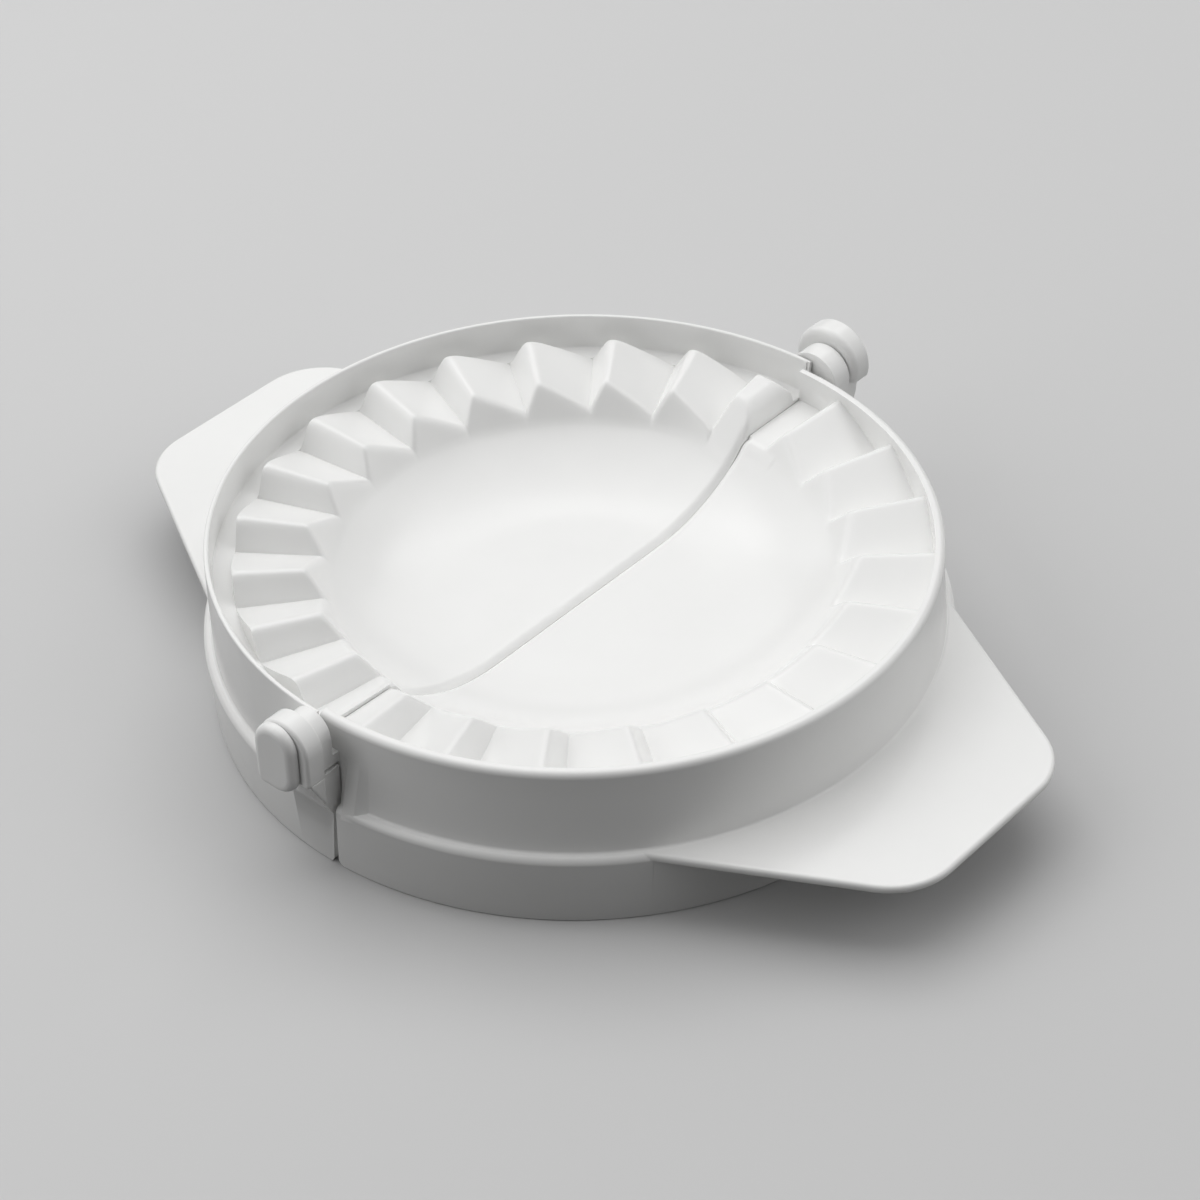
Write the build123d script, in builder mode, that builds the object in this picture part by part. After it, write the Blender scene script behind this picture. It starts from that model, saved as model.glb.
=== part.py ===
from build123d import *
import math
import os

# Hand press for sealing filled rounds of dough: two moulded half shells that fold together on a hinge.
# Millimetres, +Z up.  Origin: centre of the round body, on the plane the base edge stands on.
# The press lies open.  The hinge axis runs along Y over x = 0.
# The half on +X stays down and the half on -X swings over on to it.

os.makedirs("parts", exist_ok=True)

# ---- overall ----
TAB_END_X = 69.0          # half of the length over the two finger tabs
AXIS_Z = 21.8             # height of the hinge axis
HINGE_END = 56.5          # half of the width over the two hinge ends

# ---- round body, shared by both halves ----
WALL_T = 1.8              # moulded wall thickness
BASE_R = 49.9             # outer radius of the skirt at its foot
LEDGE_R = 50.7            # outer radius of the ledge
LEDGE_Z = 11.1            # top of the ledge and of the tabs
LEDGE_T = 1.9             # thickness of the ledge
WALL_R = 49.4             # outer radius of the upright wall where it meets the ledge
WALL_IN_R = 47.2          # inner face of that wall
BOWL_Z = 11.4             # bowl floor
BOWL_FLAT_R = 16.8        # radius of the flat part of the floor
BOWL_CURVE_R = 27.6       # radius of the curve that rises from the floor to the tops of the teeth
PARTING_GAP = 0.08        # each half stops this far from the middle plane

# ---- crimping ring ----
PITCH = 15.0              # one tooth every 15 degrees
STEEP = 3.2               # angle taken by the steep flank
RING_Z = 18.1             # level of the ring under the teeth
RING_EDGE_ROUND = 2.0     # rounding between the bowl and the ring
TOOTH_START_R = 32.8      # the teeth are drawn from here out and then cut to length
FIXED_RIDGE_Z = (20.6, 22.3)      # inner and outer heights of the ridges
SWING_RIDGE_Z = (21.3, 22.3)
FIXED_VALLEY_Z = (18.1, 18.1)     # and of the valleys
SWING_VALLEY_Z = (18.1, 18.7)
# foot radius of the teeth's inner ends, and how far the ends lean back per unit of height
FIXED_TOOTH_END = (34.7, 0.80)
SWING_TOOTH_END = (34.1, 0.60)
RIDGE_ROUND = 0.9
FIXED_RIDGE = 81.2        # angle of the fixed half's first ridge, counted from +X
SWING_RIDGE = 110.6       # angle of the swinging half's first ridge
TEETH_PER_HALF = 12
TOOTH_ROOT_Z = 16.9       # the teeth are sunk this far into the ring

# ---- rims: the swinging half's thin outer lip comes down round the fixed half's inner lip ----
FIXED_RIM_Z = 23.5
FIXED_LIP_R = 48.6
FIXED_LIP_IN_R = 47.3
STEP_Z = 19.0             # the fixed half's wall is full below this height
SWING_RIM_Z = 24.3
SWING_LIP_R = 49.45
SWING_LIP_IN_R = 48.8
CHANNEL_Z = 18.9          # floor of the groove that takes the fixed half's lip
CHANNEL_R = 46.0          # outer ends of the swinging half's teeth
LIP_ROUND_FIXED = 0.45
LIP_ROUND_SWING = 0.25

# ---- bar of the swinging half beside the far hinge ----
BAR_END_Y = 48.5
BAR_TOP_Z = 22.5
# (y, x) where the bar's steep flank meets the ring at its two ends
BAR_FOOT = ((33.0, -5.1), (BAR_END_Y, -7.5))
# the bar's section in (x, z): rounded back by the parting line, narrow top, steep flank
BAR_BACK_FOOT_Z = 18.6
BAR_BACK = (-1.2, 20.8)
BAR_TOP_START = (-3.6, BAR_TOP_Z)
BAR_TOP_BEND = (-4.2, BAR_TOP_Z - 0.02)
BAR_TOP_END = (-4.7, BAR_TOP_Z - 0.5)
# the bar seen from the side in (y, z): level top, then down to the groove
BAR_TOP_IN = (39.0, BAR_TOP_Z)
BAR_TOP_OUT = (44.4, BAR_TOP_Z)
BAR_TAIL = ((46.5, 19.6), (BAR_END_Y, 19.2))

# ---- low seat of the fixed half beside the far hinge ----
SEAT_WIDTH = 4.4
SEAT = [(33.6, 17.0), (34.9, 18.1), (37.6, 18.6), (47.5, 18.7), (47.5, 17.0)]    # outline in (y, z)

# ---- finger tabs ----
TAB_T = 1.3
TAB_END_W = 15.4          # half width where the side lines meet the end line
TAB_ROOT_X = 36.0
TAB_ROOT_W = 33.5
TAB_CORNER = 10.0
TAB_EDGE = 0.6

# ---- seam between the two skirts under the hinge ----
SEAM_Y = 48.95            # outside this the swinging half's skirt reaches past the middle
SEAM_CLEAR = 0.2          # the fixed half stops this much further in
SEAM_FOOT_X = 1.9         # right edge of the swinging half's skirt at its foot
SEAM_TOP_X = 3.3          # and from SEAM_BEND_Z upwards
SEAM_BEND_Z = 10.0
SEAM_GAP = 0.4            # from there to the fixed half's skirt
SEAM_FOOT_GAP = 0.8       # and at the foot
SEAM_ROUND = 1.2
LIP_END_X = 0.45          # the swinging half's lip runs a little past the middle
LIP_CLEAR_Z = 19.3

# ---- hinge: inner lugs on the fixed half, outer ears on the swinging half ----
LUG_IN_Y = 49.65
LUG_FOOT_Z = 17.4         # the lugs grow from the wall between this height and the next one
LUG_ROOT_Z = 18.9
LUG_ROOT_Y = 48.3
NEAR_LUG_OUT_Y = 52.0
NEAR_LUG_R = 3.1
NEAR_EAR_IN_Y = 52.15
NEAR_EAR_OUT_Y = 55.0
NEAR_EAR_R = 4.15
NEAR_EAR_FOOT_Z = 17.0
FAR_LUG_OUT_Y = 53.0
FAR_LUG_R = 4.1
FAR_LUG_X = 0.6           # centre of the far lug's round top
FAR_LUG_Z = 21.2
FAR_EAR_IN_Y = 53.2
FAR_EAR_R = 5.35
FAR_EAR_FLAT_Z = 20.3     # underside of the far ear, right of the seam
RIB_FOOT_Z = 9.6          # the rib under the far lug
RIB = [(48.0, RIB_FOOT_Z), (50.5, RIB_FOOT_Z), (FAR_LUG_OUT_Y, 15.0)]
GUSSET_LEFT_X = -4.0      # the gussets under the ears, outlines in (y, z)
GUSSET_TOP_Z = 16.6
GUSSET_FOOT_Z = 9.4
GUSSET_FOOT_Y = 50.3
NEAR_GUSSET_OUT = [(-54.5, 16.9), (-54.5, 17.5)]
CHEEK_FOOT_Z = 12.7
FAR_GUSSET_OUT = [(56.0, 15.5), (HINGE_END, 17.0), (HINGE_END, 18.5)]

# ---- near post: outlines in (x, y) on the ledge and at the lug ----
POST_X = SEAM_TOP_X + SEAM_GAP + 0.05
POST_FOOT = [(POST_X, -48), (POST_X, -49.9), (4.6, -50.6), (6.4, -50.6), (8.6, -49.2), (9.0, -48)]
POST_TOP = [(POST_X, -48), (POST_X, -48.6), (4.6, -48.75), (6.4, -48.6), (8.0, -48.3), (8.2, -48)]

# ---- pin at the near end, stud at the far end ----
PIN_R = 1.7
PIN_BORE_R = 1.75         # running fit in the near ear
PIN_END_Y = 49.85
STUD_R = 2.4
STUD_BORE_R = 2.45        # running fit in the far ear
STUD_END_Y = 55.6
BLIND_END_Y = 55.8
HEAD_R = 3.9              # round top and left side of the pin head
HEAD_RIGHT_X = 2.8        # straight right side
HEAD_DROP = 6.3           # the pin head reaches further below the axis than above it
HEAD_T = 1.4
HEAD_EDGE = 1.0
HEAD_LEFT_CORNER = 1.0
HEAD_RIGHT_CORNER = 3.2
HEAD_SHOULDER = 1.5


def bowl_radius(z):
    """Radius of the bowl's rising curve at height z."""
    below_centre = BOWL_Z + BOWL_CURVE_R - z
    return BOWL_FLAT_R + math.sqrt(BOWL_CURVE_R**2 - below_centre**2)


def upright(radius, angle):
    """Plane across the radius at this angle: local x runs round the rim, local y points up."""
    outward = Vector(1, 0, 0).rotate(Axis.Z, angle)
    round_the_rim = Vector(0, 1, 0).rotate(Axis.Z, angle)
    return Plane(origin=outward * radius, x_dir=round_the_rim, z_dir=outward)


def across_axis(y):
    """Plane square to the hinge axis: local x is X, local y is Z."""
    return Plane.XZ.offset(-y)


def block(x_range, y_range, z_range, mode=Mode.ADD):
    """Axis-aligned block between two corners."""
    middle = [sum(pair) / 2 for pair in (x_range, y_range, z_range)]
    sizes = [max(pair) - min(pair) for pair in (x_range, y_range, z_range)]
    with Locations(tuple(middle)):
        Box(*sizes, mode=mode)


def disc(radius, y_start, y_end, mode=Mode.ADD, centre=(0, AXIS_Z)):
    """Cylinder along the hinge between two values of y."""
    with BuildSketch(across_axis(y_start)) as section:
        with Locations(centre):
            Circle(radius)
    extrude(section.sketch, amount=y_start - y_end, mode=mode)


def side_plate(outline, x_range, mode=Mode.ADD):
    """Plate between two values of x with an outline of (y, z) points."""
    with BuildSketch(Plane.YZ.offset(x_range[0])) as section:
        with BuildLine():
            Polyline(*outline, close=True)
        make_face()
    extrude(section.sketch, amount=x_range[1] - x_range[0], mode=mode)


def seam_cut(outline, y_range):
    """Cut along the hinge with an outline of (x, z) points, rounded where it meets the base plane."""
    with BuildSketch(across_axis(max(y_range))) as section:
        with BuildLine():
            Polyline(*outline, close=True)
        make_face()
        foot = section.vertices().sort_by_distance(Vector(*outline[2]))[0]
        fillet(foot, SEAM_ROUND)
    extrude(section.sketch, amount=max(y_range) - min(y_range), mode=Mode.SUBTRACT)


def shell(rim, rim_round):
    """Moulded shell: bowl, ring seat, rim, wall, ledge and skirt over a hollow underside."""
    ring_edge = (bowl_radius(RING_Z), RING_Z)
    ring_under_z = RING_Z - WALL_T
    curve_centre = Vector(BOWL_FLAT_R, BOWL_Z + BOWL_CURVE_R)
    under_r = BOWL_CURVE_R + WALL_T
    under_edge_r = BOWL_FLAT_R + math.sqrt(under_r**2 - (curve_centre.Y - ring_under_z) ** 2)
    halfway = Vector(0, -1).rotate(Axis.Z, 20)
    with BuildSketch(Plane.XZ) as section:
        with BuildLine():
            Line((0, BOWL_Z), (BOWL_FLAT_R, BOWL_Z))
            ThreePointArc((BOWL_FLAT_R, BOWL_Z), curve_centre + halfway * BOWL_CURVE_R, ring_edge)
            Polyline(
                ring_edge,
                *rim,
                (WALL_R, LEDGE_Z),
                (LEDGE_R, LEDGE_Z),
                (BASE_R, 0),
                (BASE_R - WALL_T, 0),
                (LEDGE_R - WALL_T, LEDGE_Z - LEDGE_T),
                (WALL_IN_R, LEDGE_Z - LEDGE_T),
                (WALL_IN_R, ring_under_z),
                (under_edge_r, ring_under_z),
            )
            ThreePointArc(
                (under_edge_r, ring_under_z),
                curve_centre + halfway * under_r,
                (BOWL_FLAT_R, BOWL_Z - WALL_T),
            )
            Polyline((BOWL_FLAT_R, BOWL_Z - WALL_T), (0, BOWL_Z - WALL_T), (0, BOWL_Z))
        make_face()
        rim_top = max(z for radius, z in rim)
        roundings = [(point, rim_round) for point in rim if point[1] == rim_top]
        roundings += [(ring_edge, RING_EDGE_ROUND), ((LEDGE_R, LEDGE_Z), 1.0)]
        for point, radius in roundings:
            corner = section.vertices().sort_by_distance(Vector(*point))[0]
            fillet(corner, radius)
    revolve(section.sketch, axis=Axis.Z)


def cut_to_ring(inner_end, outer_radius):
    """Keep what lies between the leaning inner ends of the teeth and an outer radius."""
    foot_r, lean = inner_end
    top_z = max(SWING_RIDGE_Z) + 0.4
    outline = [
        (foot_r + lean * (TOOTH_ROOT_Z - RING_Z), TOOTH_ROOT_Z),
        (foot_r + lean * (top_z - RING_Z), top_z),
        (outer_radius, top_z),
        (outer_radius, TOOTH_ROOT_Z),
    ]
    with BuildSketch(Plane.XZ) as section:
        with BuildLine():
            Polyline(*outline, close=True)
        make_face()
    revolve(section.sketch, axis=Axis.Z, mode=Mode.INTERSECT)


def tooth(ridge, radii, ridge_z, valley_z):
    """One sawtooth of the crimping ring: gentle flank, rounded ridge, steep flank."""
    sections = []
    for radius, top, bottom in zip(radii, ridge_z, valley_z):
        steep_foot = radius * math.tan(math.radians(STEEP))
        gentle_foot = -radius * math.tan(math.radians(PITCH - STEEP))
        with BuildSketch(upright(radius, ridge)) as section:
            with BuildLine():
                Polyline(
                    (gentle_foot, TOOTH_ROOT_Z),
                    (gentle_foot, bottom),
                    (0, top),
                    (steep_foot, bottom),
                    (steep_foot, TOOTH_ROOT_Z),
                    close=True,
                )
            make_face()
            ridge_corner = section.vertices().sort_by(Axis.Y)[-1]
            fillet(ridge_corner, RIDGE_ROUND)
        sections.append(section.sketch)
    loft(sections, ruled=True)


def teeth(ridges, inner_end, outer_radius, ridge_z, valley_z):
    """The row of sawteeth, made a little too long and then cut to the ring."""
    radii = (TOOTH_START_R, outer_radius + 1.0)
    for ridge in ridges:
        tooth(ridge, radii, ridge_z, valley_z)
    cut_to_ring(inner_end, outer_radius)


def tab(side):
    """Finger tab: flat plate with two rounded outer corners, level with the ledge."""
    with BuildSketch(Plane.XY.offset(LEDGE_Z - TAB_T)) as plate:
        with BuildLine():
            Polyline(
                (side * TAB_ROOT_X, TAB_ROOT_W),
                (side * TAB_END_X, TAB_END_W),
                (side * TAB_END_X, -TAB_END_W),
                (side * TAB_ROOT_X, -TAB_ROOT_W),
                close=True,
            )
        make_face()
        fillet(plate.vertices().group_by(Axis.X)[-1 if side > 0 else 0], TAB_CORNER)
    extrude(plate.sketch, amount=TAB_T)


# ---- finger tabs, rounded along their edges and cut to the ledge ----
with BuildPart() as fixed_tab:
    tab(1)
    long_edges = fixed_tab.edges().filter_by_position(Axis.X, TAB_ROOT_X + 1, TAB_END_X)
    fillet(long_edges.filter_by(Plane.XY), TAB_EDGE)
    Cylinder(LEDGE_R - 1.0, 60, mode=Mode.SUBTRACT)

with BuildPart() as swing_tab:
    tab(-1)
    long_edges = swing_tab.edges().filter_by_position(Axis.X, -TAB_END_X, -TAB_ROOT_X - 1)
    fillet(long_edges.filter_by(Plane.XY), TAB_EDGE)
    Cylinder(LEDGE_R - 1.0, 60, mode=Mode.SUBTRACT)

# ---- crimping teeth ----
with BuildPart() as fixed_teeth:
    fixed_ridges = [FIXED_RIDGE - PITCH * k for k in range(TEETH_PER_HALF)]
    teeth(fixed_ridges, FIXED_TOOTH_END, FIXED_LIP_IN_R + 0.3, FIXED_RIDGE_Z, FIXED_VALLEY_Z)

with BuildPart() as swing_teeth:
    swing_ridges = [SWING_RIDGE + PITCH * k for k in range(TEETH_PER_HALF)]
    teeth(swing_ridges, SWING_TOOTH_END, CHANNEL_R, SWING_RIDGE_Z, SWING_VALLEY_Z)

# The tooth next to the far hinge is a bar parallel to the axis.  Its back, by the parting line, is rounded.
with BuildPart() as hinge_bar:
    for y, foot_x in BAR_FOOT:
        with BuildSketch(across_axis(y)):
            with BuildLine():
                Line((-PARTING_GAP, TOOTH_ROOT_Z), (-PARTING_GAP, BAR_BACK_FOOT_Z))
                ThreePointArc((-PARTING_GAP, BAR_BACK_FOOT_Z), BAR_BACK, BAR_TOP_START)
                ThreePointArc(BAR_TOP_START, BAR_TOP_BEND, BAR_TOP_END)
                Line(BAR_TOP_END, (foot_x, RING_Z))
                Line((foot_x, RING_Z), (foot_x, TOOTH_ROOT_Z))
                Line((foot_x, TOOTH_ROOT_Z), (-PARTING_GAP, TOOTH_ROOT_Z))
            make_face()
    loft(ruled=True)
    # seen from the side it rises out of the bowl, runs level and drops to the channel
    with BuildSketch(Plane.YZ) as side_view:
        with BuildLine():
            Polyline(
                (bowl_radius(TOOTH_ROOT_Z), TOOTH_ROOT_Z),
                (bowl_radius(STEP_Z), STEP_Z),
                BAR_TOP_IN,
                BAR_TOP_OUT,
                *BAR_TAIL,
                (BAR_END_Y, TOOTH_ROOT_Z),
                close=True,
            )
        make_face()
        fillet(side_view.vertices().sort_by_distance(Vector(*BAR_TOP_IN))[0], 6.0)
        fillet(side_view.vertices().sort_by_distance(Vector(*BAR_TOP_OUT))[0], 2.0)
    extrude(side_view.sketch, amount=-12, mode=Mode.INTERSECT)

# ---- fixed half: shell, ring, tab and the two lugs that carry the hinge ----
with BuildPart() as far_lug:
    disc(FAR_LUG_R, LUG_IN_Y, FAR_LUG_OUT_Y, centre=(FAR_LUG_X, FAR_LUG_Z))
    lug_right_x = FAR_LUG_X + FAR_LUG_R
    block((FAR_LUG_X, lug_right_x), (LUG_IN_Y, FAR_LUG_OUT_Y), (LUG_FOOT_Z, FAR_LUG_Z))
    fillet(far_lug.faces().sort_by(Axis.Y)[-1].edges(), 0.3)
    block((0.3, lug_right_x), (LUG_ROOT_Y, FAR_LUG_OUT_Y - 0.5), (LUG_FOOT_Z, LUG_ROOT_Z))
    disc(STUD_R, FAR_LUG_OUT_Y - 0.5, STUD_END_Y)
    chamfer(far_lug.edges().group_by(Axis.Y)[-1], 0.3)

with BuildPart() as fixed_half:
    fixed_rim = [
        (FIXED_LIP_IN_R, RING_Z),
        (FIXED_LIP_IN_R, FIXED_RIM_Z),
        (FIXED_LIP_R, FIXED_RIM_Z),
        (FIXED_LIP_R + 0.1, STEP_Z),
    ]
    shell(fixed_rim, LIP_ROUND_FIXED)
    add(fixed_teeth.part)
    add(fixed_tab.part)
    # open side of the shell, then the room for the swinging half's skirt and gussets
    block((-80, PARTING_GAP), (-60, 60), (-1, 40), mode=Mode.SUBTRACT)
    fixed_seam = [
        (7, -1),
        (7, 0),
        (SEAM_FOOT_X + SEAM_FOOT_GAP, 0),
        (SEAM_TOP_X + SEAM_GAP, SEAM_BEND_Z),
        (SEAM_TOP_X + SEAM_GAP, LUG_FOOT_Z - 0.2),
        (-1, LUG_FOOT_Z - 0.2),
        (-1, -1),
    ]
    seam_cut(fixed_seam, (SEAM_Y - SEAM_CLEAR, 60))
    seam_cut(fixed_seam, (-60, -SEAM_Y + SEAM_CLEAR))
    # low seat between the last tooth and the parting line at the far end
    side_plate(SEAT, (PARTING_GAP, SEAT_WIDTH))
    # near post: stands on the ledge and leans back into the wall
    with BuildSketch(Plane.XY.offset(LEDGE_Z - 1.5)) as post_foot:
        with BuildLine():
            Polyline(*POST_FOOT, close=True)
        make_face()
    with BuildSketch(Plane.XY.offset(LUG_ROOT_Z)) as post_top:
        with BuildLine():
            Polyline(*POST_TOP, close=True)
        make_face()
    loft([post_foot.sketch, post_top.sketch], ruled=True)
    # near lug
    disc(NEAR_LUG_R, -LUG_IN_Y, -NEAR_LUG_OUT_Y)
    block((0.3, SEAM_TOP_X), (-LUG_ROOT_Y, -NEAR_LUG_OUT_Y), (LUG_FOOT_Z, LUG_ROOT_Z))
    block((0.3, SEAM_TOP_X), (-LUG_IN_Y, -NEAR_LUG_OUT_Y), (LUG_FOOT_Z, AXIS_Z))
    disc(PIN_R, -LUG_IN_Y, -NEAR_LUG_OUT_Y, mode=Mode.SUBTRACT)
    # far lug and the rib that carries it
    add(far_lug.part)
    rib_top_z = LUG_FOOT_Z + 0.1
    rib = RIB + [(FAR_LUG_OUT_Y, rib_top_z), (RIB[0][0], rib_top_z)]
    side_plate(rib, (SEAM_TOP_X + SEAM_GAP, FAR_LUG_X + FAR_LUG_R))

# ---- swinging half: shell, ring, tab and the two ears that turn about the lugs ----
with BuildPart() as near_ear:
    disc(NEAR_EAR_R, -NEAR_EAR_IN_Y, -NEAR_EAR_OUT_Y)
    block((-NEAR_EAR_R, NEAR_EAR_R), (-NEAR_EAR_IN_Y, -NEAR_EAR_OUT_Y), (NEAR_EAR_FOOT_Z, AXIS_Z))
    fillet(near_ear.faces().sort_by(Axis.Y)[0].edges(), 0.5)

with BuildPart() as far_ear:
    disc(FAR_EAR_R, FAR_EAR_IN_Y, HINGE_END)
    fillet(far_ear.faces().sort_by(Axis.Y)[0].edges(), 1.0)
    block((SEAM_TOP_X, 8), (FAR_EAR_IN_Y, HINGE_END), (10, FAR_EAR_FLAT_Z), mode=Mode.SUBTRACT)

with BuildPart() as swing_half:
    swing_rim = [
        (CHANNEL_R, RING_Z),
        (CHANNEL_R, CHANNEL_Z),
        (SWING_LIP_IN_R, CHANNEL_Z),
        (SWING_LIP_IN_R, SWING_RIM_Z),
        (SWING_LIP_R, SWING_RIM_Z),
    ]
    shell(swing_rim, LIP_ROUND_SWING)
    add(swing_teeth.part)
    add(hinge_bar.part)
    add(swing_tab.part)
    # open side of the shell; skirt and ledge run on past the middle under the hinge, and so does the lip
    block((SEAM_TOP_X, 80), (-60, 60), (-1, 40), mode=Mode.SUBTRACT)
    block((-PARTING_GAP, SEAM_TOP_X), (-SEAM_Y, SEAM_Y), (-1, 40), mode=Mode.SUBTRACT)
    block((-PARTING_GAP, SEAM_TOP_X), (-60, 60), (LEDGE_Z, LIP_CLEAR_Z), mode=Mode.SUBTRACT)
    block((LIP_END_X, SEAM_TOP_X), (-60, 60), (LEDGE_Z, 40), mode=Mode.SUBTRACT)
    swing_seam = [
        (-2, -1),
        (-2, 0),
        (SEAM_FOOT_X, 0),
        (SEAM_TOP_X, SEAM_BEND_Z),
        (SEAM_TOP_X, SEAM_BEND_Z + 2),
        (10, SEAM_BEND_Z + 2),
        (10, -1),
    ]
    seam_cut(swing_seam, (-60, 60))
    # gussets under the ears
    near_gusset = [
        (-SEAM_Y, GUSSET_FOOT_Z),
        (-GUSSET_FOOT_Y, GUSSET_FOOT_Z),
        *NEAR_GUSSET_OUT,
        (-NEAR_EAR_IN_Y, NEAR_GUSSET_OUT[1][1]),
        (-NEAR_EAR_IN_Y, NEAR_GUSSET_OUT[0][1]),
        (-SEAM_Y, NEAR_GUSSET_OUT[0][1]),
    ]
    far_gusset = [
        (SEAM_Y, GUSSET_FOOT_Z),
        (GUSSET_FOOT_Y, GUSSET_FOOT_Z),
        *FAR_GUSSET_OUT,
        (FAR_EAR_IN_Y, FAR_GUSSET_OUT[-1][1]),
        (FAR_EAR_IN_Y, GUSSET_TOP_Z),
        (SEAM_Y, GUSSET_TOP_Z),
    ]
    side_plate(near_gusset, (GUSSET_LEFT_X, SEAM_TOP_X))
    side_plate(far_gusset, (GUSSET_LEFT_X, SEAM_TOP_X))
    # outside the near lug the gusset is as wide as the ear above it
    near_cheek = [
        (-NEAR_EAR_IN_Y, CHEEK_FOOT_Z),
        *NEAR_GUSSET_OUT,
        (-NEAR_EAR_IN_Y, NEAR_GUSSET_OUT[1][1]),
    ]
    side_plate(near_cheek, (SEAM_TOP_X - 1, NEAR_EAR_R))
    add(near_ear.part)
    add(far_ear.part)
    disc(PIN_BORE_R, -NEAR_EAR_IN_Y, -NEAR_EAR_OUT_Y, mode=Mode.SUBTRACT)
    disc(STUD_BORE_R, FAR_EAR_IN_Y, BLIND_END_Y, mode=Mode.SUBTRACT)

# ---- near hinge pin: long flat head outside the ear, shaft through the ear into the lug ----
with BuildPart() as hinge_pin:
    shoulder_z = AXIS_Z + math.sqrt(HEAD_R**2 - HEAD_RIGHT_X**2)
    with BuildSketch(across_axis(-HINGE_END)) as head:
        with BuildLine():
            Line((-HEAD_R, AXIS_Z), (-HEAD_R, AXIS_Z - HEAD_DROP))
            Line((-HEAD_R, AXIS_Z - HEAD_DROP), (HEAD_RIGHT_X, AXIS_Z - HEAD_DROP))
            Line((HEAD_RIGHT_X, AXIS_Z - HEAD_DROP), (HEAD_RIGHT_X, shoulder_z))
            ThreePointArc((HEAD_RIGHT_X, shoulder_z), (0, AXIS_Z + HEAD_R), (-HEAD_R, AXIS_Z))
        make_face()
        foot_corners = head.vertices().group_by(Axis.Y)[0].sort_by(Axis.X)
        fillet(foot_corners[0], HEAD_LEFT_CORNER)
        fillet(head.vertices().group_by(Axis.Y)[0].sort_by(Axis.X)[-1], HEAD_RIGHT_CORNER)
        fillet(head.vertices().sort_by_distance(Vector(HEAD_RIGHT_X, shoulder_z))[0], HEAD_SHOULDER)
    extrude(amount=-HEAD_T)
    fillet(hinge_pin.faces().sort_by(Axis.Y)[0].edges(), HEAD_EDGE)
    disc(PIN_R, -HINGE_END + HEAD_T - 0.2, -PIN_END_Y)
    chamfer(hinge_pin.edges().group_by(Axis.Y)[-1], 0.3)

fixed_half.part.label = "fixed_half"
swing_half.part.label = "swing_half"
hinge_pin.part.label = "hinge_pin"
export_step(fixed_half.part, "parts/fixed_half.step")
export_step(swing_half.part, "parts/swing_half.step")
export_step(hinge_pin.part, "parts/hinge_pin.step")
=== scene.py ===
# %% [markdown]
# # A folding dumpling press in white plastic
#
# The press is two moulded half shells and one pin.  Their solids come ready made from the CAD model,
# which owns every size.  This lesson draws each piece once more as a smooth shell of the same size,
# with the soft edges that a moulding has, gives it the look of glossy plastic, and lights it in a
# small studio.  Each piece takes the place of its solid and rides on the same body.
#
# Blender works in metres, in the same frame as the CAD model: +Z is up, the hinge axis runs along Y,
# the half that stays down is on +X and the half that swings over is on -X.  Sizes below are written in
# millimetres and turned to metres where a mesh is made.

# %% Load the imported model
import math

import bmesh
import bpy
from mathutils import Matrix, Vector


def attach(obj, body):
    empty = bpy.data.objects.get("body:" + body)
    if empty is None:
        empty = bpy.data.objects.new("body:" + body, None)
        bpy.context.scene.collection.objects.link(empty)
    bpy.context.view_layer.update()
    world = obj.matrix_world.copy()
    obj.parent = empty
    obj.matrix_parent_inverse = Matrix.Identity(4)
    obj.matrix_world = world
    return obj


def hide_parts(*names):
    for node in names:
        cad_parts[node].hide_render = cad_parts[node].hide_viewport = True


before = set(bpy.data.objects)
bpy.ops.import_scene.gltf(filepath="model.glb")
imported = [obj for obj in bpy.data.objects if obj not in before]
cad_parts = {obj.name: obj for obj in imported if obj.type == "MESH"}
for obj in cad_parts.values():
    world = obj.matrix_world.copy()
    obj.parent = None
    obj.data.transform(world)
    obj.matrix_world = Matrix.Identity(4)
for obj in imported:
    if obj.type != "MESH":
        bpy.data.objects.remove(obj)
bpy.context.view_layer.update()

MM = 0.001


# %% [markdown]
# ## The camera
#
# A product shot is easiest to repeat when the camera is written as an orbit: a point to look at, a
# turn round it, a height angle, a distance and a small roll of the head.  A constraint or three Euler
# angles could aim it too, but the matrix built from these few numbers says more and moves nothing else.

# %% Camera
LOOK_AT = Vector((0, 0, 12.0)) * MM
CAMERA_TURN = math.radians(41.70)       # from looking along +Y, round to the right
CAMERA_HEIGHT = math.radians(39.11)     # above the horizon
CAMERA_ROLL = math.radians(-0.96)
CAMERA_DISTANCE = 439.35 * MM
CAMERA_SLIDE = (2.79 * MM, -0.56 * MM)  # sideways and up, in the camera's own directions
SENSOR_WIDTH = 36.0
FOCAL_LENGTH = 97.77
NEAREST_SEEN = 10 * MM


def link_to_scene(thing):
    """Show an object in the scene, and hand it back."""
    bpy.context.scene.collection.objects.link(thing)
    return thing


def orbit_matrix(turn, height, roll, distance, slide, look_at):
    """World matrix of a camera that looks at a point from an orbit round it."""
    back = Vector((
        math.sin(turn) * math.cos(height),
        -math.cos(turn) * math.cos(height),
        math.sin(height),
    ))
    level_right = (-back).cross(Vector((0, 0, 1))).normalized()
    level_up = level_right.cross(-back)
    right = math.cos(roll) * level_right + math.sin(roll) * level_up
    up = math.cos(roll) * level_up - math.sin(roll) * level_right
    matrix = Matrix((right, up, back)).transposed().to_4x4()
    matrix.translation = look_at + slide[0] * right + slide[1] * up + distance * back
    return matrix


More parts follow.
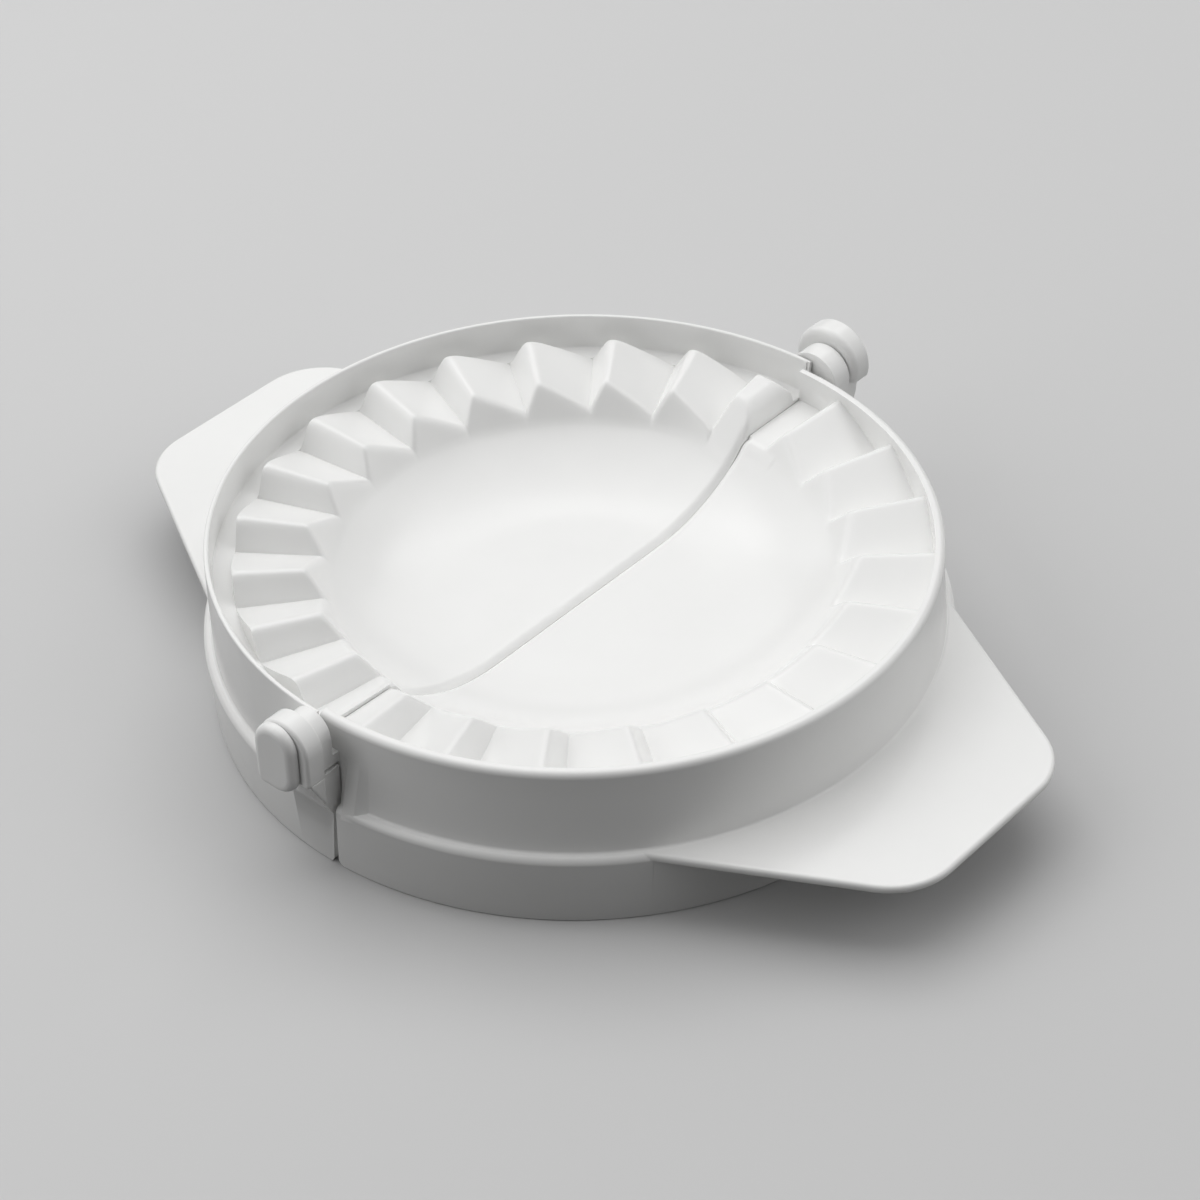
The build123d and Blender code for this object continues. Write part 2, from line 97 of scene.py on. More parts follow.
camera_data = bpy.data.cameras.new("product_camera")
camera_data.sensor_width = SENSOR_WIDTH
camera_data.lens = FOCAL_LENGTH
camera_data.clip_start = NEAREST_SEEN
camera = link_to_scene(bpy.data.objects.new("product_camera", camera_data))
camera.matrix_world = orbit_matrix(
    CAMERA_TURN, CAMERA_HEIGHT, CAMERA_ROLL, CAMERA_DISTANCE, CAMERA_SLIDE, LOOK_AT
)
bpy.context.scene.camera = camera
print("camera stands at, mm:", [round(value / MM) for value in camera.matrix_world.translation])

# %% [markdown]
# ## Node trees as plain expressions
#
# A node tree is a formula drawn as a diagram.  The small class below lets us write the formula
# instead: it wraps one output socket, and `a * 2 + b` adds the two Math nodes for us.  The reflected
# forms, such as `__rsub__`, are what make `1 - mask` work.  Every other node comes from one method,
# which sets the node's own settings first and fills its sockets after that.  The same class serves
# the material here and the Geometry Nodes tree further down.


# %% A socket that can do sums
class Value:
    """One output socket of a node tree, with arithmetic.  Without a socket it is a bare start."""

    def __init__(self, tree, socket=None):
        self.tree = tree
        self.socket = socket

    def node(self, node_type, settings=None, sockets=None, output=0):
        """Add a node with its settings and the values or links of its sockets; give one output."""
        made = self.tree.nodes.new(node_type)
        for name, setting in (settings or {}).items():
            setattr(made, name, setting)
        for name, value in (sockets or {}).items():
            plug(self.tree, made.inputs[name], value)
        return Value(self.tree, made.outputs[output])

    def all_outputs(self):
        """Every output of the node that this one comes from."""
        return [Value(self.tree, socket) for socket in self.socket.node.outputs]

    def __add__(self, other):
        return maths("ADD", self, other)

    def __radd__(self, other):
        return maths("ADD", other, self)

    def __sub__(self, other):
        return maths("SUBTRACT", self, other)

    def __rsub__(self, other):
        return maths("SUBTRACT", other, self)

    def __mul__(self, other):
        return maths("MULTIPLY", self, other)

    def __rmul__(self, other):
        return maths("MULTIPLY", other, self)


print("a value can be added, taken away and multiplied")


# %% Links and Math nodes
def plug(tree, socket, value):
    """Put a number or a link into an input socket."""
    if isinstance(value, Value):
        tree.links.new(value.socket, socket)
    else:
        socket.default_value = value


def maths(operation, *operands):
    """A Math node on numbers and values, of which at least one is a Value."""
    owner = next(value for value in operands if isinstance(value, Value))
    return owner.node("ShaderNodeMath", {"operation": operation}, dict(enumerate(operands)))


practice = bpy.data.node_groups.new("practice", "ShaderNodeTree")
mask = Value(practice).node("ShaderNodeValue")
print("1 - mask * 2 ends in a node called", (1 - mask * 2).socket.node.operation)
bpy.data.node_groups.remove(practice)

# %% [markdown]
# ## White moulded plastic
#
# Injection-moulded polypropylene is white right through, with a polished skin where the mould was
# polished.  Close up it is never perfectly even: the tint clouds a little, the gloss varies where the
# plastic met a cooler or a rougher patch of steel, and the skin has a faint flow ripple.  A plain
# white passes only from far away.  Here each of the three gets a noise of its own, on Object
# coordinates, so that the pattern stays on the piece when it folds.

# %% White plastic
WHITE = (0.90, 0.90, 0.89)
DEEP_SHARE = 0.965          # the darkest cloud, as a share of the white
CLOUD_SCALE = 90.0          # clouds about 11 mm across
GLOSS_ROUGHNESS = 0.22
GLOSS_SPREAD = 0.08
PATCH_SCALE = 160.0         # patches of gloss about 6 mm across
RIPPLE_SCALE = 260.0        # ripples about 4 mm across
RIPPLE_STRENGTH = 0.05
RIPPLE_DEPTH = 0.3 * MM
PLASTIC_IOR = 1.49


def noise(place, scale, detail, roughness):
    """A noise pattern on a place, between 0 and 1."""
    return place.node("ShaderNodeTexNoise", sockets={
        "Vector": place, "Scale": scale, "Detail": detail, "Roughness": roughness,
    })


def white_plastic(name):
    """Glossy white plastic with a faint unevenness in colour, gloss and surface."""
    material = bpy.data.materials.new(name)
    material.use_nodes = True
    tree = material.node_tree
    skin = tree.nodes["Principled BSDF"].inputs
    place = Value(tree).node("ShaderNodeTexCoord", output="Object")
    cloud = noise(place, CLOUD_SCALE, 3.0, 0.55)
    patch = noise(place, PATCH_SCALE, 2.0, 0.6)
    ripple = noise(place, RIPPLE_SCALE, 2.0, 0.4)
    deep_white = tuple(channel * DEEP_SHARE for channel in WHITE)
    factor, colour_a, colour_b, colour_out = 0, 6, 7, 2     # places of the Mix node's colour sockets
    colour = cloud.node(
        "ShaderNodeMix", {"data_type": "RGBA"},
        {factor: cloud, colour_a: (*deep_white, 1), colour_b: (*WHITE, 1)}, output=colour_out,
    )
    plug(tree, skin["Base Color"], colour)
    plug(tree, skin["Roughness"], GLOSS_ROUGHNESS + GLOSS_SPREAD * (patch - 0.5))
    plug(tree, skin["Normal"], ripple.node("ShaderNodeBump", sockets={
        "Strength": RIPPLE_STRENGTH, "Distance": RIPPLE_DEPTH, "Height": ripple,
    }))
    skin["IOR"].default_value = PLASTIC_IOR
    return material


plastic = white_plastic("white_plastic")
print("made material", plastic.name, "with", len(plastic.node_tree.nodes), "nodes")

# %% [markdown]
# ## Outlines with rounded corners
#
# Every edge of a moulding is a little round, because sharp steel corners wear and hot plastic does
# not fill them.  A Bevel modifier could round them, but it gives every edge one width.  So the
# outlines below are written as corners with a radius each, and one helper turns a corner into an arc.

# %% Corners into arcs
ARC_STEPS = 10
CIRCLE_STEPS = 64


def rounded(corners):
    """Outline of (u, v, radius) corners as points, each corner with a radius drawn as an arc."""
    points = []
    for index, (u, v, radius) in enumerate(corners):
        corner = Vector((u, v))
        if not radius:
            points.append(corner)
            continue
        before = Vector(corners[index - 1][:2]) - corner
        after = Vector(corners[(index + 1) % len(corners)][:2]) - corner
        half_angle = before.angle(after) / 2
        before.normalize()
        after.normalize()
        centre = corner + (before + after).normalized() * (radius / math.sin(half_angle))
        run = radius / math.tan(half_angle)
        first = corner + before * run - centre
        last = corner + after * run - centre
        for step in range(ARC_STEPS + 1):
            spoke = first.slerp(last, step / ARC_STEPS).normalized()
            points.append(centre + spoke * radius)
    return points


def sharp(*corners):
    """Outline of (u, v) corners that stay sharp."""
    return [Vector(corner) for corner in corners]


def around(u, v, radius, turns):
    """Points round a centre, at turns in radians."""
    return [Vector((u + radius * math.cos(turn), v + radius * math.sin(turn))) for turn in turns]


def circle(u, v, radius, steps=CIRCLE_STEPS):
    """A circle as an outline."""
    return around(u, v, radius, [2 * math.pi * step / steps for step in range(steps)])


rounded_square = rounded([(0, 0, 1), (9, 0, 1), (9, 9, 1), (0, 9, 1)])
print("a square with four round corners has", len(rounded_square), "points")

# %% [markdown]
# ## Closed meshes from rings
#
# Everything on this press can be drawn as a row of rings with the same number of points: the turned
# shells, the lugs, ears and tabs, and the small post at the near hinge.  Spin and Screw could make
# some of them, each in its own way.  One helper for all of them gives closed meshes whose faces
# point outwards.

# %% Rings into a closed mesh
MERGE_DISTANCE = 1e-6


def closed_mesh(name, rings, on_top=None):
    """An object with a closed skin over rings of places.

    on_top holds a mark for each place in a ring, 1 where the teeth may lift it.  Only the turned shells
    have such marks, and they have a pole on the axis too, whose points are merged.
    """
    count = len(rings[0])
    places = [Vector(place) * MM for ring in rings for place in ring]
    faces = [tuple(range(count)), tuple(range(len(places) - count, len(places)))]
    for low in range(0, len(places) - count, count):
        for step in range(count):
            after = (step + 1) % count
            faces.append((low + step, low + after, low + count + after, low + count + step))
    mesh = bpy.data.meshes.new(name)
    mesh.from_pydata(places, [], faces)
    if on_top:
        marks = mesh.attributes.new("on_top", "FLOAT", "POINT")
        marks.data.foreach_set("value", on_top * len(rings))
    skin = bmesh.new()
    skin.from_mesh(mesh)
    if on_top:
        bmesh.ops.remove_doubles(skin, verts=skin.verts, dist=MERGE_DISTANCE)
    bmesh.ops.recalc_face_normals(skin, faces=skin.faces)
    skin.to_mesh(mesh)
    skin.free()
    return link_to_scene(bpy.data.objects.new(name, mesh))


sample = closed_mesh("sample", [[(0, 0, z), (1, 0, z), (0, 1, z)] for z in range(3)])
print("three rings of three points make", len(sample.data.polygons), "faces")
bpy.data.objects.remove(sample)

# %% [markdown]
# ## From an outline to a solid
#
# Lugs, ears, tabs and gussets are all slabs: an outline pushed along one axis.  To round the slab's
# own end edges, the helper adds a few rings that shrink as they near the end.  Scaling the outline
# would be simpler, but a long outline would then shrink more at its ends than at its sides.  Moving
# each point along its corner's mitre keeps the rounding equally wide all the way round.  A thin flat
# ring inside each rounding keeps the end face evenly shaded.


# %% Move an outline inwards
def inset(outline, distance):
    """The outline moved inwards by a distance."""
    area = sum(a.cross(b) for a, b in zip(outline, outline[1:] + outline[:1]))
    side = 1 if area > 0 else -1
    moved = []
    for index, point in enumerate(outline):
        into = (point - outline[index - 1]).normalized()
        out = (outline[(index + 1) % len(outline)] - point).normalized()
        normal_in = Vector((-into.y, into.x)) * side
        normal_out = Vector((-out.y, out.x)) * side
        mitre = (normal_in + normal_out) / (1 + normal_in.dot(normal_out))
        moved.append(point + mitre * distance)
    return moved


smaller = inset(sharp((0, 0), (9, 0), (9, 9), (0, 9)), 1)
print("a 9 mm square moved in by 1 mm starts at", tuple(smaller[0]))

# %% Slabs with rounded ends
ROUND_RINGS = 5
FLAT_BORDER = 0.12
PUT_ALONG = {
    "x": lambda u, v, along: (along, u, v),
    "y": lambda u, v, along: (u, along, v),
    "z": lambda u, v, along: (u, v, along),
}


def slab_end(outline, place, inward, radius):
    """Outlines and their places for one end of a slab, from its sides to its end face."""
    if not radius:
        return [(outline, place)]
    end = []
    for ring in range(ROUND_RINGS + 1):
        turn = math.pi / 2 * ring / ROUND_RINGS
        edge = inset(outline, radius * (1 - math.cos(turn)))
        end.append((edge, place + inward * radius * (1 - math.sin(turn))))
    if radius > FLAT_BORDER:
        end.append((inset(outline, radius + FLAT_BORDER), place))
    return end


def slab(axis, outline, start, end, start_round=0.0, end_round=0.0):
    """A solid between two places along an axis, with its end edges rounded if asked."""
    toward = 1 if end > start else -1
    stack = slab_end(outline, start, toward, start_round)[::-1]
    stack += slab_end(outline, end, -toward, end_round)
    put = PUT_ALONG[axis]
    return closed_mesh("slab", [[put(point.x, point.y, along) for point in ring] for ring, along in stack])


def brick(x_range, y_range, z_range):
    """A plain block between two places along each axis."""
    (left, right), (near, far) = x_range, y_range
    return slab("z", sharp((left, near), (right, near), (right, far), (left, far)), *z_range)


print("a rounded slab end has", len(slab_end(smaller, 0, 1, 1.0)), "rings")

# %% [markdown]
# ## Joining and cutting
#
# A moulding is one piece, so its parts are joined with booleans and not just pushed into each other.
# The manifold solver is quick and clean on closed meshes, and every mesh here is closed.  The result
# is taken off the evaluated object as a plain mesh, and the modifier goes.

# %% Join and cut
SOLVER = "MANIFOLD"


def freeze(thing):
    """Turn an object's live modifiers into its own plain mesh."""
    bpy.context.view_layer.update()
    graph = bpy.context.evaluated_depsgraph_get()
    mesh = bpy.data.meshes.new_from_object(thing.evaluated_get(graph))
    thing.modifiers.clear()
    thing.data = mesh
    return thing


def shape_with(target, operation, *tools):
    """Join tools to a solid or cut them from it, and throw the tools away."""
    for tool in tools:
        change = target.modifiers.new("shape", "BOOLEAN")
        change.operation = operation
        change.solver = SOLVER
        change.object = tool
        freeze(target)
        bpy.data.objects.remove(tool)
    return target


print("booleans use the", SOLVER.lower(), "solver")

# %% [markdown]
# ## The wall in section
#
# Seen in section, each half is one thin wall: bowl, ring, rim, outer wall, ledge and skirt, with a
# hollow under it.  It could be cut from a block, but then the wall would have to be checked
# everywhere.  Drawn as one closed line it is even by design.  The two halves share it and differ only
# in the rim.  The top side has closely spaced points, because the teeth are lifted out of it.

# %% Sizes of the wall
WALL = 1.8
BOWL_FLOOR = 11.4
FLOOR_RADIUS = 16.8         # the flat of the bowl's floor
BOWL_CURVE = 27.6           # radius of the curve that rises from that flat
RING_LEVEL = 18.1
LEDGE_LEVEL = 11.1
LEDGE_RADIUS = 50.7
LEDGE_THICKNESS = 1.9
FOOT_RADIUS = 49.9
WALL_RADIUS = 49.4          # outer face of the upright wall, at the ledge
WALL_INSIDE = 47.2
WALL_FILLET = 0.4
LEDGE_ROUND = 1.0
FOOT_ROUND = 0.3
print("the body is", 2 * LEDGE_RADIUS, "mm across at the ledge")


# %% The bowl's curve
def bowl_radius(curve, level):
    """How far out the bowl's curve stands at a level."""
    below = BOWL_FLOOR + BOWL_CURVE - level
    return FLOOR_RADIUS + math.sqrt(curve**2 - below**2)


def on_curve(curve, turn):
    """A point of the bowl's curve in section, at a turn from straight down."""
    return FLOOR_RADIUS + curve * math.sin(turn), BOWL_FLOOR + BOWL_CURVE - curve * math.cos(turn)


print("the bowl meets the ring", round(bowl_radius(BOWL_CURVE, RING_LEVEL), 1), "mm from the middle")

# %% Section of the wall
# rings of points on the flat floor, close together in the middle, where the parting edge is rounded
FLOOR_RINGS = (0.0, 0.3, 0.6, 0.9, 1.3, 1.8, 3.0, 6.0, 9.0, 12.0, 14.5)
CURVE_STEP = 0.7
UNDER_STEP = 2.0
FINE_STEP = 0.3             # across the inner ends of the teeth
FINE_END = 38.5
RING_STEP = 0.5


def spread(start, end, step):
    """Places from start to end, at most a step apart, without the end itself."""
    count = max(1, math.ceil(abs(end - start) / step))
    return [start + (end - start) * index / count for index in range(count)]


def wall_section(ring_end, rim):
    """Points of the closed section, top side first, and how many of them lie on the top side."""
    ring_start = bowl_radius(BOWL_CURVE, RING_LEVEL)
    top = [(radius, BOWL_FLOOR) for radius in FLOOR_RINGS]
    curve_end = math.asin((ring_start - FLOOR_RADIUS) / BOWL_CURVE)
    top += [on_curve(BOWL_CURVE, turn) for turn in spread(0.0, curve_end, CURVE_STEP / BOWL_CURVE)]
    top += [(radius, RING_LEVEL) for radius in spread(ring_start, FINE_END, FINE_STEP)]
    top += [(radius, RING_LEVEL) for radius in spread(FINE_END, ring_end, RING_STEP)]
    top.append((ring_end, RING_LEVEL))
    under_curve = BOWL_CURVE + WALL
    under_ring = RING_LEVEL - WALL
    under_ledge = LEDGE_LEVEL - LEDGE_THICKNESS
    outside = rounded(rim + [
        (WALL_RADIUS, LEDGE_LEVEL, WALL_FILLET),
        (LEDGE_RADIUS, LEDGE_LEVEL, LEDGE_ROUND),
        (FOOT_RADIUS, 0, FOOT_ROUND),
        (FOOT_RADIUS - WALL, 0, FOOT_ROUND),
        (LEDGE_RADIUS - WALL, under_ledge, 0),
        (WALL_INSIDE, under_ledge, 0),
        (WALL_INSIDE, under_ring, 0),
        (bowl_radius(under_curve, under_ring), under_ring, 0),
    ])
    under_turn = math.acos((BOWL_FLOOR + BOWL_CURVE - under_ring) / under_curve)
    under = [on_curve(under_curve, turn) for turn in spread(under_turn, 0.0, UNDER_STEP / BOWL_CURVE)[1:]]
    under += [(FLOOR_RADIUS, BOWL_FLOOR - WALL), (0.0, BOWL_FLOOR - WALL)]
    return top + [tuple(point) for point in outside] + under, len(top)


fine_rows = spread(bowl_radius(BOWL_CURVE, RING_LEVEL), FINE_END, FINE_STEP)
print("the fine part of the ring has", len(fine_rows), "rows")

# %% [markdown]
# ## The turned shell
#
# The section is turned round the middle like clay on a wheel.  The turn stops a little past half a
# circle, so that there is something left to cut to the parting line.  A Screw modifier would space
# its columns evenly from the start of the turn.  Here a column has to fall on the crest and another
# on the foot of every tooth, so the columns are counted from the first ridge.

# %% Turn the section
PITCH = 15.0                # degrees from one tooth to the next
COLUMNS_PER_TOOTH = 42
STEEP_COLUMNS = 9           # of these, on the steep flank
STEEP_SHARE = STEEP_COLUMNS / COLUMNS_PER_TOOTH


def turned(name, section, top_count, first_ridge, turn_range):
    """Turn a section about Z between two angles, in step with the teeth."""
    column = PITCH / COLUMNS_PER_TOOTH
    start = math.ceil((turn_range[0] - first_ridge) / column)
    stop = math.floor((turn_range[1] - first_ridge) / column)
    angles = [math.radians(first_ridge + column * index) for index in range(start, stop + 1)]
    columns = [
        [(radius * math.cos(angle), radius * math.sin(angle), level) for radius, level in section]
        for angle in angles
    ]
    print(name, "is turned from", len(section), "points and", len(angles), "columns")
    return closed_mesh(name, columns, [float(row < top_count) for row in range(len(section))])


print("a column every", round(PITCH / COLUMNS_PER_TOOTH, 3), "degrees")

# %% [markdown]
# ## A tree for the crimping ring
#
# The teeth are what repeats on this press: a saw that runs round the ring, steep on one side and
# gentle on the other.  They could be modelled once and copied, but then each copy would have to be
# joined to the shell.  Instead a Geometry Nodes tree lifts the ring's own points by a rule, and the
# sizes that differ between the two halves are the tree's named inputs.

# %% An empty tree with named inputs
CRIMP_INPUTS = (
    "First ridge", "Angle start", "Teeth from", "Teeth to",
    "Ridge inner", "Ridge outer", "Valley outer", "Teeth end",
    "Foot radius", "Lean", "Shoulder level", "Low level", "Low from", "Bar level",
)


def geometry_tree(name, inputs):
    """A Geometry Nodes tree with number inputs, and those inputs as values."""
    tree = bpy.data.node_groups.new(name, "GeometryNodeTree")
    tree.interface.new_socket("Geometry", in_out="INPUT", socket_type="NodeSocketGeometry")
    tree.interface.new_socket("Geometry", in_out="OUTPUT", socket_type="NodeSocketGeometry")
    for title in inputs:
        tree.interface.new_socket(title, in_out="INPUT", socket_type="NodeSocketFloat")
    entry = Value(tree).node("NodeGroupInput")
    return tree, dict(zip(("Geometry", *inputs), entry.all_outputs()))


def soft_min(a, b, softness):
    """The lower of two heights, with the corner between them rounded."""
    return maths("SMOOTH_MIN", a, b, softness)


crimp_rule, given = geometry_tree("crimp", CRIMP_INPUTS)
print("the crimping tree has", len(given), "inputs")

# %% [markdown]
# ## The row of teeth
#
# The angle round the middle, wrapped to one pitch, says where on its tooth a point lies.  The two
# flanks are two straight lines, and a smooth minimum of them makes a rounded crest.  A third line
# leans the inner end back into the bowl, and a fourth one takes down the outer shoulder.  The same
# smooth minimum blends them in, so no edge of a tooth is sharp.

# %% Height of the teeth
TOOTH_START = 32.8
TOOTH_LENGTH = 14.0
SHOULDER_SLOPE = 1.4
SOFT_CREST = 0.6            # share of the height over which a crest is rounded
SOFT_END = 1.5              # the other softnesses are in millimetres
SOFT_SHOULDER = 0.9


def leaning_end(radius):
    """Height of the line that leans the inner ends back into the bowl."""
    return RING_LEVEL + (radius - given["Foot radius"]) * given["Lean"]


def teeth_height(radius, angle):
    """Height of the sawteeth at a place on the ring, or 0 outside their row."""
    turn = (angle - given["First ridge"]) * (1 / PITCH)
    turn = maths("WRAP", turn, STEEP_SHARE, STEEP_SHARE - 1)
    gentle = 1 + turn * (1 / (1 - STEEP_SHARE))
    steep = 1 - turn * (1 / STEEP_SHARE)
    along = (radius - TOOTH_START) * (1 / TOOTH_LENGTH)
    valley = RING_LEVEL + along * (given["Valley outer"] - RING_LEVEL)
    ridge = given["Ridge inner"] + along * (given["Ridge outer"] - given["Ridge inner"])
    level = valley + soft_min(gentle, steep, SOFT_CREST) * (ridge - valley)
    shoulder = given["Shoulder level"] + (given["Teeth end"] - radius) * SHOULDER_SLOPE
    level = soft_min(soft_min(level, leaning_end(radius), SOFT_END), shoulder, SOFT_SHOULDER)
    after_start = maths("GREATER_THAN", angle, given["Teeth from"])
    before_end = maths("LESS_THAN", angle, given["Teeth to"])
    return level * (after_start * before_end)


print("crests are rounded over", SOFT_CREST, "of their height")

# %% The place of each point
FULL_TURN = 360

place = given["Geometry"].node("GeometryNodeInputPosition")
split = place.node("ShaderNodeSeparateXYZ", sockets={"Vector": place})
x, y, z = [coordinate * (1 / MM) for coordinate in split.all_outputs()]
radius = maths("SQRT", x * x + y * y)
angle = maths("ARCTAN2", y, x) * math.degrees(1)
angle = maths("WRAP", angle, given["Angle start"] + FULL_TURN, given["Angle start"])
teeth = teeth_height(radius, angle)
print("with the teeth the tree has", len(crimp_rule.nodes), "nodes")

# %% [markdown]
# ## Beside the far hinge
#
# There the ring is not toothed.  The swinging half has a straight bar that takes the pressure next to
# the hinge, with a round back at the parting line and a steep flank.  The other half has a low flat
# place for it.  Both are heights too, so they join the same tree rather than being joined as solids,
# and they melt into the ring as the teeth do.

# %% Sizes of the bar
BAR_MIDDLE = -4.0           # X of the bar's middle, and half of its width
BAR_HALF_WIDTH = 4.0
BACK_FOOT = 0.4             # heights of the round back over the ring
BACK_RISE = 4.1
FLANK_TURN = 0.1548         # the flank's foot moves out this much for each millimetre along the bar
FLANK_SLOPE = 2.6
RISE_START = 34.4           # the long slope out of the bowl
RISE_FOOT = 0.2
RISE_SLOPE = 1.05
DROP_START = 46.7           # the short drop outside
DROP_LEVEL = 19.4
DROP_SLOPE = 1.35
SOFT_BAR = 0.9
SOFT_BAR_ENDS = 2.0
SOFT_BAR_TOP = 1.2
LOW_LEAD = 0.3              # the low place starts this much higher than the teeth's leaning ends
print("the bar is", 2 * BAR_HALF_WIDTH, "mm wide")


# %% Bar and low place
def low_height(radius, angle):
    """Height of the low flat place beside the far hinge, or 0 elsewhere."""
    level = soft_min(given["Low level"], leaning_end(radius) + LOW_LEAD, SOFT_END)
    return level * maths("GREATER_THAN", angle, given["Low from"])


def bar_height(x, y, angle):
    """Height of the bar beside the far hinge, or 0 elsewhere."""
    across = (x - BAR_MIDDLE) * (1 / BAR_HALF_WIDTH)
    dome = maths("SQRT", maths("MAXIMUM", 1 - across * across, 0.0))
    back = RING_LEVEL + BACK_FOOT + BACK_RISE * dome
    flank = RING_LEVEL + (x + y * FLANK_TURN) * FLANK_SLOPE
    rise = RING_LEVEL + RISE_FOOT + (y - RISE_START) * RISE_SLOPE
    drop = DROP_LEVEL + (DROP_START - y) * DROP_SLOPE
    profile = soft_min(back, flank, SOFT_BAR)
    length = soft_min(soft_min(rise, drop, SOFT_BAR_ENDS), given["Bar level"], SOFT_BAR_TOP)
    return soft_min(profile, length, SOFT_BAR) * maths("LESS_THAN", angle, given["Teeth from"])


lifted = maths("MAXIMUM", maths("MAXIMUM", teeth, low_height(radius, angle)), bar_height(x, y, angle))
print("with the bar the tree has", len(crimp_rule.nodes), "nodes")

# %% [markdown]
# ## The parting edges
#
# Where the two halves meet in the bowl, each edge is rounded over, and that shallow groove is what
# shows as a line across the bowl.  On the ring the edges are crisper, so most of the rounding is left
# off there.  A bevel could not change its width on the way, a height rule can.  The tree then writes
# the new heights to the points marked on_top, and ends in Realize Instances and Set Material.

# %% Rounded parting edge
PARTING_REACH = 1.3         # the rounding starts this far from the parting line
PARTING_DROP = 0.8
PARTING_BOWL = 36.0         # outside this radius the rounding is weaker
PARTING_WEAKER = 0.75
SOFT_FOOT = 0.5

near_parting = maths("MAXIMUM", 1 - maths("ABSOLUTE", x) * (1 / PARTING_REACH), 0.0)
in_bowl = 1 - maths("GREATER_THAN", radius, PARTING_BOWL) * PARTING_WEAKER
shaped = maths("SMOOTH_MAX", z, lifted, SOFT_FOOT) - near_parting * near_parting * in_bowl * PARTING_DROP
print("the edges drop by up to", PARTING_DROP, "mm")

# %% The end of the tree
on_top = place.node("GeometryNodeInputNamedAttribute", {"data_type": "FLOAT"}, {"Name": "on_top"})
new_z = z + on_top * (shaped - z)
moved = place.node("ShaderNodeCombineXYZ", sockets={"X": x * MM, "Y": y * MM, "Z": new_z * MM})
crimped = place.node(
    "GeometryNodeSetPosition", sockets={"Geometry": given["Geometry"], "Position": moved}
)
whole = place.node("GeometryNodeRealizeInstances", sockets={"Geometry": crimped})
dressed = place.node("GeometryNodeSetMaterial", sockets={"Geometry": whole, "Material": plastic})
leave = crimp_rule.nodes.new("NodeGroupOutput")
plug(crimp_rule, leave.inputs["Geometry"], dressed)
print("the finished crimping tree has", len(crimp_rule.nodes), "nodes")


# %% Run the tree on a shell
def crimp(shell, tree, sizes):
    """Run the tree on a shell with its sizes, and keep the result as a plain mesh."""
    change = shell.modifiers.new("crimp", "NODES")
    change.node_group = tree
    identifiers = {
        item.name: item.identifier for item in tree.interface.items_tree if item.in_out == "INPUT"
    }
    for title, value in sizes.items():
        change[identifiers[title]] = float(value)
    return freeze(shell)


print("each shell gives the tree", len(CRIMP_INPUTS), "sizes")

# %% [markdown]
# ## The shell of the half that stays down
#
# Its rim is a short inner lip, and its teeth run right into that lip.  The shell is turned and
# crimped as more than half a circle and then cut, because a cut face is flat and closed, while a turn
# that stopped at the parting plane would end on a column and not on the plane.  Outside the ring the
# cut is a slanted seam with a round foot, set back a little from the other half's skirt.

# %% Sizes of the hinge and the seam
AXIS = 21.8                 # height of the hinge axis
HAIR = 1e-4                 # keeps a column that lies on a limit on the right side of it
PARTING_GAP = 0.03
FAR = 80                    # past everything
ALL_DEPTH = (-FAR, FAR)     # ranges in Y and Z that take in the whole press
ALL_LEVELS = (-1, 40)
SEAM_FOOT = 1.9             # the seam's slanted line: X at the foot, and X at the top
SEAM_TOP = 3.3
SEAM_TOP_LEVEL = 10
SEAM_ROUND = 1.2
SEAM_GAP = 0.4
SEAM_FOOT_GAP = 0.8
LUG_FOOT = 17.4             # the lugs start at this level, just below the top of the other gussets
print("the hinge axis runs", AXIS, "mm above the table")

# %% Fixed half: shell
FIXED_TURN = (-92.5, 92.5)
FIXED_FIRST_RIDGE = 81.2
FIXED_RING_END = 47.3

fixed_rim = [(FIXED_RING_END, 23.5, 0.35), (48.6, 23.5, 0.9), (48.7, 19.0, 0)]   # radius, level, round
fixed_half = turned(
    "fixed_half_moulding", *wall_section(FIXED_RING_END, fixed_rim), FIXED_FIRST_RIDGE, FIXED_TURN
)
crimp(fixed_half, crimp_rule, {
    "First ridge": FIXED_FIRST_RIDGE, "Angle start": -180,
    "Teeth from": -100, "Teeth to": FIXED_FIRST_RIDGE + STEEP_SHARE * PITCH - HAIR,
    "Ridge inner": 20.8, "Ridge outer": 22.4, "Valley outer": RING_LEVEL,
    "Foot radius": 34.7, "Lean": 1 / 0.80,
    "Teeth end": 99.0, "Shoulder level": 0.0,               # no shoulder
    "Low level": 18.6, "Low from": 80.0, "Bar level": 0.0,  # and no bar
})
print("fixed half, uncut:", len(fixed_half.data.polygons), "faces")

# %% Fixed half: cut to the parting plane and the seam
SKIRT_CUTS = ((48.75, 60), (-60, -48.75))                   # in Y, outside the ring
SEAM_CUT_TOP = LUG_FOOT - 0.2

fixed_seam = rounded([                                      # x, z, round
    (7, -1, 0), (7, 0, 0),
    (SEAM_FOOT + SEAM_FOOT_GAP, 0, SEAM_ROUND),
    (SEAM_TOP + SEAM_GAP, SEAM_TOP_LEVEL, 0),
    (SEAM_TOP + SEAM_GAP, SEAM_CUT_TOP, 0), (-1, SEAM_CUT_TOP, 0), (-1, -1, 0),
])
shape_with(
    fixed_half, "DIFFERENCE",
    brick((-FAR, PARTING_GAP), ALL_DEPTH, ALL_LEVELS),
    *[slab("y", fixed_seam, *y_range) for y_range in SKIRT_CUTS],
)
print("fixed half, shell only:", len(fixed_half.data.polygons), "faces")

